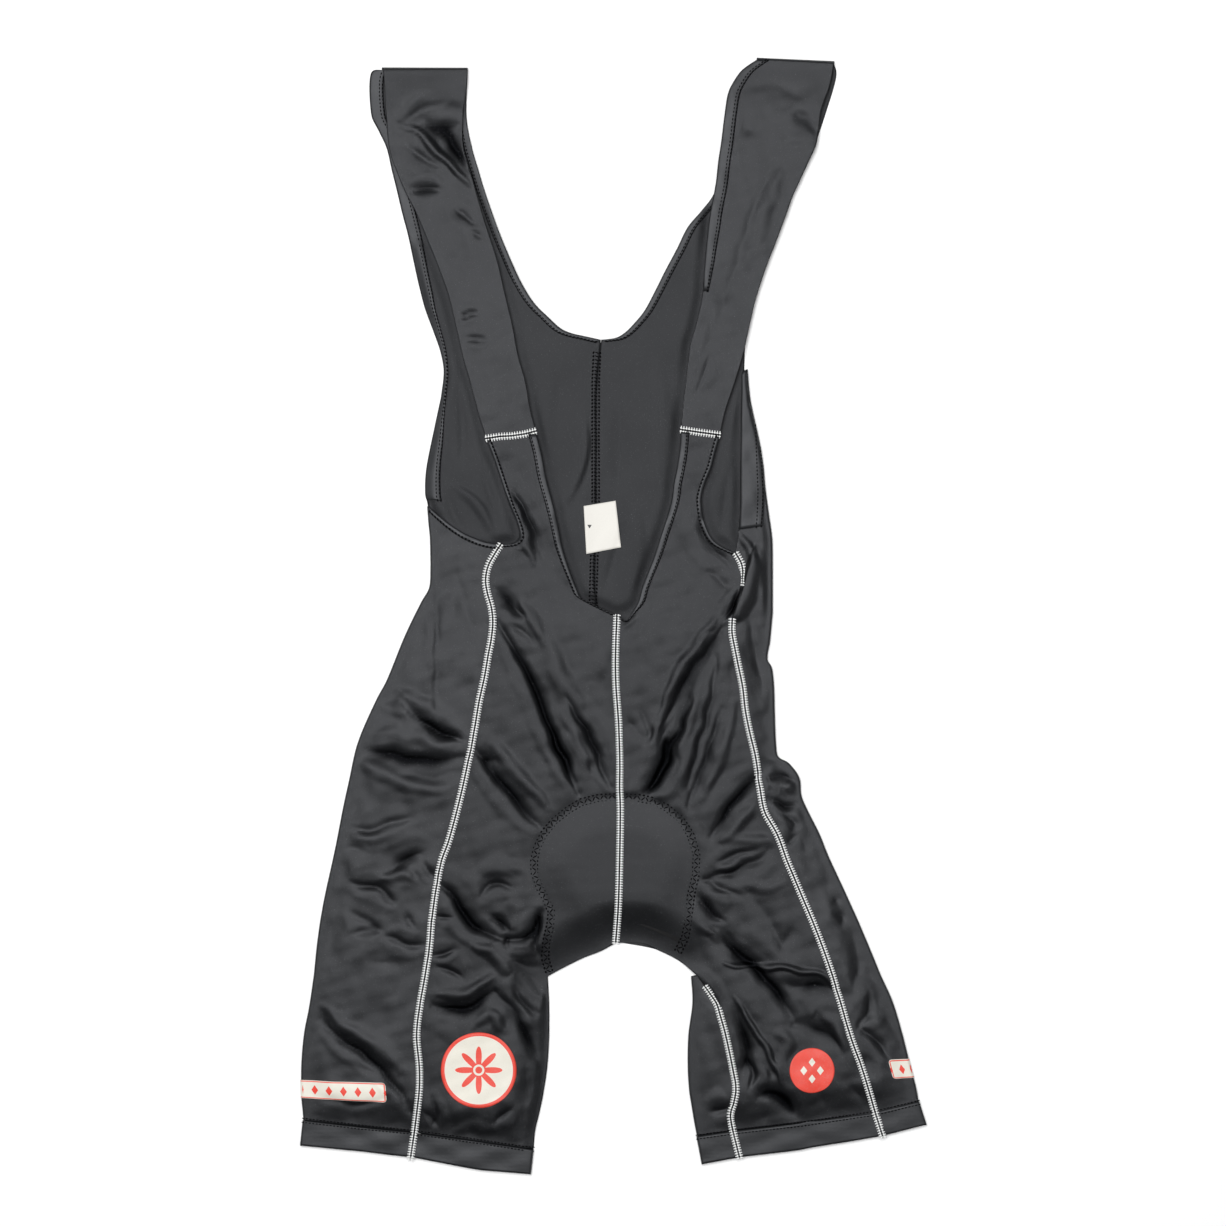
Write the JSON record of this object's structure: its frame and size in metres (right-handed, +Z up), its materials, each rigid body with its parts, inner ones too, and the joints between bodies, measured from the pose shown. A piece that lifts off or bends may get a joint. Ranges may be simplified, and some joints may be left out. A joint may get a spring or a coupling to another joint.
{
  "type": "cycling bib shorts",
  "caption": "Black satin cycling bib shorts laid out flat, front up, with raised white flatlock seams, a scooped back, doubled straps and a seat pad between the layers.",
  "frame": {"origin": "centre of the bounding box, on the surface that the garment lies on", "axes": "+Y from the legs to the shoulders, +X to the viewer's right as seen from above, +Z up out of the surface"},
  "size_m": [0.4708, 0.842, 0.0084],
  "materials": {
    "satin_lycra": "satin warp knit, smooth and slightly shiny",
    "turned_hem": "the same satin knit, doubled and stitched",
    "padding": "brushed foam-backed cloth",
    "label_satin": "woven satin tape",
    "cream_print": "rubbery heat-pressed print",
    "red_print": "rubbery heat-pressed print"
  },
  "bodies": {
    "root": {"front_left": "satin_lycra", "front_right": "satin_lycra", "side_left": "satin_lycra", "side_right": "satin_lycra", "strap_left": "satin_lycra", "back_upper_left": "satin_lycra", "back_left": "satin_lycra", "strap_right": "satin_lycra", "back_upper_right": "satin_lycra", "back_right": "satin_lycra", "back_right_round_leg": "satin_lycra", "leg_hem_left": "turned_hem", "leg_hem_right": "turned_hem", "neck_hem_left": "turned_hem", "neck_hem_right": "turned_hem", "armhole_hem_left": "turned_hem", "armhole_hem_right": "turned_hem", "seat_pad": "padding", "care_label": "label_satin", "round_patch_left": "cream_print", "bar_patch_left": "cream_print", "round_patch_right": "red_print", "bar_patch_right": "cream_print"}
  },
  "joints": []
}
